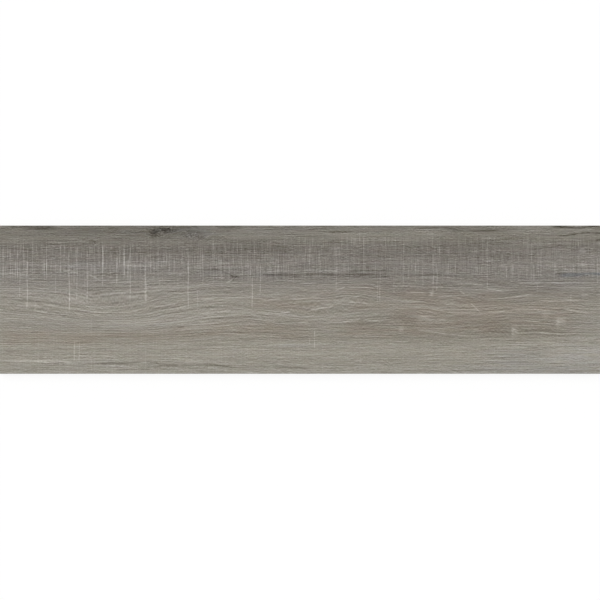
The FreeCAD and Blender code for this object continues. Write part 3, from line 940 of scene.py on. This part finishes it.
def body_material(settings, groups):
    """The fired porcelain: speckled clay, ground at the sides, with kiln wash on the ribs of the back."""
    material, wires, shader = new_material("fired_body")
    place = wires.object_place()
    x, y, z = wires.split(place)

    # Clouds in the clay, and dark grains in about a third of the cells of a foam
    clouds = wires.fill(wires.add("ShaderNodeTexNoise", (place,)), scale=CLOUD_SCALE, detail=3.0)[0]
    grains = wires.fill(wires.add("ShaderNodeTexVoronoi", (place,)), scale=SPECK_SCALE)
    dot = wires.smooth(grains["Distance"], *SPECK_RADIUS)
    chosen = wires.smooth(wires.split(grains["Color"])[0], *SPECK_CHOICE)
    speckle = wires.times(wires.times(dot, chosen), 0.60)
    shade = wires.mix("RGBA", speckle, settings.clay, settings.speck)

    # The grinding wheel runs along each side, so x and y share one coordinate there.
    around = wires.vector(wires.maths("ADD", x, y), z)
    side = wires.smooth(z, *GROUND_FROM)
    lines = wires.times(wires.group(groups["grain"], point=around, **GRINDING)["Value"], side)

    # Chalky wash, thickest where the ribs stood on the rollers
    patchy = wires.group(groups["grain"], point=wires.vector(x, y), **WASH)["Value"]
    wash = wires.times(wires.smooth(z, *WASH_UP_TO), wires.smooth(patchy, *WASH_PATCHES))
    shade = wires.mix("RGBA", wires.times(wash, 0.85), shade, settings.kiln_wash)

    # Two thin lines at the top of the sides: the pale engobe under the glaze, and the glaze's own edge
    shade = wires.mix("RGBA", wires.smooth(z, *ENGOBE_FROM), shade, settings.engobe)
    shade = wires.mix("RGBA", wires.smooth(z, *GLAZE_FROM), shade, settings.glaze_edge)

    light = wires.plus(wires.plus(0.89, clouds, 0.22), lines, 0.09)
    smoother = wires.plus(settings.roughness, side, -0.16)
    height = wires.plus(wires.times(wash, 0.5), lines, 0.6)
    wires.fill(
        shader,
        base_color=wires.scale(shade, light),
        roughness=wires.plus(smoother, wash, 0.12),
        normal=wires.bump(BODY_BUMP, wires.maths("SUBTRACT", height, speckle)),
    )
    shader.inputs["Specular IOR Level"].default_value = BODY_SPECULAR
    return material


# The tile's mesh


def eased(value, start, end):
    """0 at start and 1 at end, eased between."""
    share = min(1.0, max(0.0, (value - start) / (end - start)))
    return share * share * (3 - 2 * share)


def bend_rise(x, y):
    """How far the grain has climbed at a place in millimetres."""
    rise = 0.0
    for middle_x, middle_y, half_length, half_width, height in BENDS:
        beyond = eased(abs(x - middle_x) / half_length, 1.0, 0.0)
        beside = eased(abs(y - middle_y) / half_width, 1.0, 0.0)
        rise += height * beyond * beside
    return rise


def pressed_noise(x, y, run, wide, seed):
    """Noise from -1 to 1 at a place in millimetres."""
    return noise.noise(Vector((x / run, y / wide, seed)))


def emboss(x, y):
    """How deep the grain is pressed at a place in millimetres, from 0 to 1."""
    flow = y - bend_rise(x, y) + WANDER_BY * pressed_noise(x, y, *PRESSED_WANDER)
    grooves = GROOVE_DEPTH * pressed_noise(x, flow, *PRESSED_GROOVES)
    swells = SWELL_DEPTH * pressed_noise(x, flow, *PRESSED_SWELLS)
    return min(1.0, max(0.0, MEAN_DEPTH + grooves + swells))


def open_shell():
    """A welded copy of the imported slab, with its flat top taken off."""
    shell = bmesh.new()
    shell.from_mesh(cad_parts[TILE_NODE].data)
    bmesh.ops.remove_doubles(shell, verts=shell.verts, dist=WELD)
    top = [f for f in shell.faces if all(v.co.z > CAD_HIGH.z - WELD for v in f.verts)]
    bmesh.ops.delete(shell, geom=top, context="FACES")
    return shell


def rim_edges(shell, axis):
    """The open rim's edges along one axis, 0 along the plank and 1 across it."""
    level = 1 - axis
    rim = [e for e in shell.edges if e.is_boundary]
    return [e for e in rim if abs(e.verts[0].co[level] - e.verts[1].co[level]) < WELD]


def fill_face(shell, columns, rows):
    """Closes the open top with a fine grid of quads."""
    along = rim_edges(shell, 0)
    across = rim_edges(shell, 1)
    bmesh.ops.subdivide_edges(shell, edges=along, cuts=columns - 1)
    bmesh.ops.subdivide_edges(shell, edges=across, cuts=rows - 1)
    return bmesh.ops.grid_fill(shell, edges=rim_edges(shell, 0), use_smooth=True)["faces"]


def press_grain(shell, face_grid, settings):
    """Presses the grain into the face, and notes how deep it goes at each vertex."""
    depth = shell.verts.layers.float.new("emboss")
    verts = {v for f in face_grid for v in f.verts}
    rim_x = max(v.co.x for v in verts)
    rim_y = max(v.co.y for v in verts)
    for vert in verts:
        inset = min(rim_x - abs(vert.co.x), rim_y - abs(vert.co.y))
        fade = min(1.0, max(0.0, inset) / settings.plain_rim)
        vert[depth] = fade * emboss(vert.co.x / MM, vert.co.y / MM)
        vert.co.z = CAD_HIGH.z - vert[depth] * settings.emboss_depth


def lay_out(shell):
    """A flat layout for baking: the printed face on top, then the back, the long sides and the ends."""
    layout = shell.loops.layers.uv.new(BAKE_MAP)
    size = CAD_HIGH - CAD_LOW
    for face in shell.faces:
        facing = face.normal
        for loop in face.loops:
            spot = loop.vert.co - CAD_LOW
            along, across, up = (spot[i] / size[i] for i in range(3))
            if abs(facing.z) > SIDE_LIMIT:
                strip = "face" if facing.z > 0 else "back"
                u, v = along, across
            elif abs(facing.y) > abs(facing.x):
                strip = "long side back" if facing.y > 0 else "long side front"
                u, v = along, up
            else:
                strip = "ends"
                start = 1 + END_GAP if facing.x > 0 else 0.0
                u, v = (across + start) / (2 + END_GAP), up
            low, high = BAKE_STRIPS[strip]
            loop[layout].uv = (BAKE_MARGIN + (1 - 2 * BAKE_MARGIN) * u, low + (high - low) * v)


class TILE_OT_plank(bpy.types.Operator):
    """Make the tile: an embossed, wood printed face on its fired and keyed body"""

    bl_idname = "tile.make_plank"
    bl_label = "Make Plank Tile"

    def execute(self, context):
        scene = context.scene
        shell = open_shell()
        face_grid = fill_face(shell, scene.plank_face.columns, scene.plank_face.rows)
        press_grain(shell, face_grid, scene.plank_face)
        for face in shell.faces:
            face.normal_update()
            face.material_index = 0 if face.normal.z > SIDE_LIMIT else 1
        lay_out(shell)
        mesh = bpy.data.meshes.new("plank_tile_dressed")
        shell.to_mesh(mesh)
        shell.free()
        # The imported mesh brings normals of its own, which don't fit the welded one.
        if mesh.has_custom_normals:
            mesh.attributes.remove(mesh.attributes["custom_normal"])
        groups = {
            "grain": grain_group(), "fibre": fibre_group(), "stroke": stroke_group(),
            "scratch": scratch_group(), "knot": knot_group(),
        }
        mesh.materials.append(print_material(scene.wood_print, groups))
        mesh.materials.append(body_material(scene.fired_body, groups))
        mesh.shade_smooth()
        mesh.set_sharp_from_angle(angle=SHARP_ANGLE)
        tile = bpy.data.objects.new("plank_tile_dressed", mesh)
        scene.collection.objects.link(tile)
        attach(tile, "root")
        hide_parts(TILE_NODE)
        return {"FINISHED"}


# The stage


def shown_rays(wires):
    """1 for rays that show the background, straight or in a reflection, and 0 for those that light things."""
    path = wires.add("ShaderNodeLightPath").outputs
    seen = wires.maths("MAXIMUM", path["Is Camera Ray"], path["Is Glossy Ray"])
    return wires.maths("MAXIMUM", seen, path["Is Transmission Ray"])


def floor_material(settings):
    """A pale floor that shows white and takes a shadow. From below, it lets view and light through."""
    material = bpy.data.materials.new("studio_floor")
    material.use_nodes = True
    tree = material.node_tree
    tree.nodes.remove(tree.nodes["Principled BSDF"])
    wires = Wiring(tree)
    matte = wires.add("ShaderNodeBsdfDiffuse", (settings.floor_colour,)).outputs[0]
    glow = wires.add("ShaderNodeEmission", ((1.0, 1.0, 1.0), FLOOR_WHITE)).outputs[0]
    share = wires.times(shown_rays(wires), settings.floor_glow)
    lit = wires.add("ShaderNodeMixShader", (share, matte, glow)).outputs[0]
    under = wires.add("ShaderNodeNewGeometry").outputs["Backfacing"]
    path = wires.add("ShaderNodeLightPath").outputs
    lighting = wires.maths("MAXIMUM", path["Is Shadow Ray"], path["Is Diffuse Ray"])
    clear = wires.add("ShaderNodeBsdfTransparent").outputs[0]
    through = wires.maths("MAXIMUM", under, lighting)
    one_sided = wires.add("ShaderNodeMixShader", (through, lit, clear)).outputs[0]
    wires.feed(tree.nodes["Material Output"].inputs["Surface"], one_sided)
    return material


class TILE_OT_stage(bpy.types.Operator):
    """Set the white floor, the soft light and the camera straight above the tile"""

    bl_idname = "tile.set_stage"
    bl_label = "Set Stage"

    def execute(self, context):
        scene = context.scene
        settings = scene.studio
        self.lay_floor(scene, settings)
        self.set_lights(scene, settings)
        self.set_camera(scene, settings)
        scene.view_settings.view_transform = "Standard"
        return {"FINISHED"}

    def lay_floor(self, scene, settings):
        ground = bmesh.new()
        bmesh.ops.create_grid(ground, x_segments=1, y_segments=1, size=settings.floor_size / 2)
        bmesh.ops.translate(ground, verts=ground.verts, vec=(0.0, 0.0, CAD_LOW.z - FLOOR_GAP))
        mesh = bpy.data.meshes.new("studio_floor")
        ground.to_mesh(mesh)
        ground.free()
        mesh.materials.append(floor_material(settings))
        floor = bpy.data.objects.new("studio_floor", mesh)
        scene.collection.objects.link(floor)

    def set_lights(self, scene, settings):
        world = bpy.data.worlds.new("studio_sky")
        world.use_nodes = True
        scene.world = world
        wires = Wiring(world.node_tree)
        # White where it shows, and weaker where it lights
        strength = wires.plus(settings.sky, shown_rays(wires), 1.0 - settings.sky)
        wires.fill(world.node_tree.nodes["Background"], color=(1.0, 1.0, 1.0), strength=strength)
        lamps = (("key_light", settings.key, KEY_TURN), ("fill_light", settings.fill, FILL_TURN))
        for name, energy, turn in lamps:
            lamp = bpy.data.lights.new(name, "SUN")
            lamp.energy = energy
            lamp.angle = settings.key_spread
            light = bpy.data.objects.new(name, lamp)
            light.rotation_euler = Euler([math.radians(angle) for angle in turn])
            scene.collection.objects.link(light)

    def set_camera(self, scene, settings):
        lens = bpy.data.cameras.new("camera")
        lens.lens = settings.lens
        lens.sensor_width = settings.sensor
        camera = bpy.data.objects.new("camera", lens)
        distance = settings.view_span * settings.lens / settings.sensor
        camera.location = (0.0, -settings.view_drop, CAD_HIGH.z + distance)
        scene.collection.objects.link(camera)
        scene.camera = camera


STEPS = ((TILE_OT_plank, ("plank_face", "wood_print", "fired_body")), (TILE_OT_stage, ("studio",)))


class TILE_PT_plank(bpy.types.Panel):
    """The tile's settings and its two steps"""

    bl_label = "Wood Look Plank Tile"
    bl_space_type = "VIEW_3D"
    bl_region_type = "UI"
    bl_category = "Tile"

    def draw(self, context):
        for step, names in STEPS:
            box = self.layout.box()
            for name in names:
                settings = getattr(context.scene, name)
                for field in settings.__annotations__:
                    box.prop(settings, field)
            box.operator(step.bl_idname)


SETTINGS = {
    "plank_face": PlankFaceSettings,
    "wood_print": WoodPrintSettings,
    "fired_body": FiredBodySettings,
    "studio": StudioSettings,
}
CLASSES = (*SETTINGS.values(), TILE_OT_plank, TILE_OT_stage, TILE_PT_plank)


def register():
    for cls in CLASSES:
        bpy.utils.register_class(cls)
    for name, group in SETTINGS.items():
        setattr(bpy.types.Scene, name, PointerProperty(type=group))


def unregister():
    for name in SETTINGS:
        delattr(bpy.types.Scene, name)
    for cls in reversed(CLASSES):
        bpy.utils.unregister_class(cls)


def main():
    register()
    bpy.ops.tile.make_plank()
    bpy.ops.tile.set_stage()


if __name__ == "__main__":
    main()
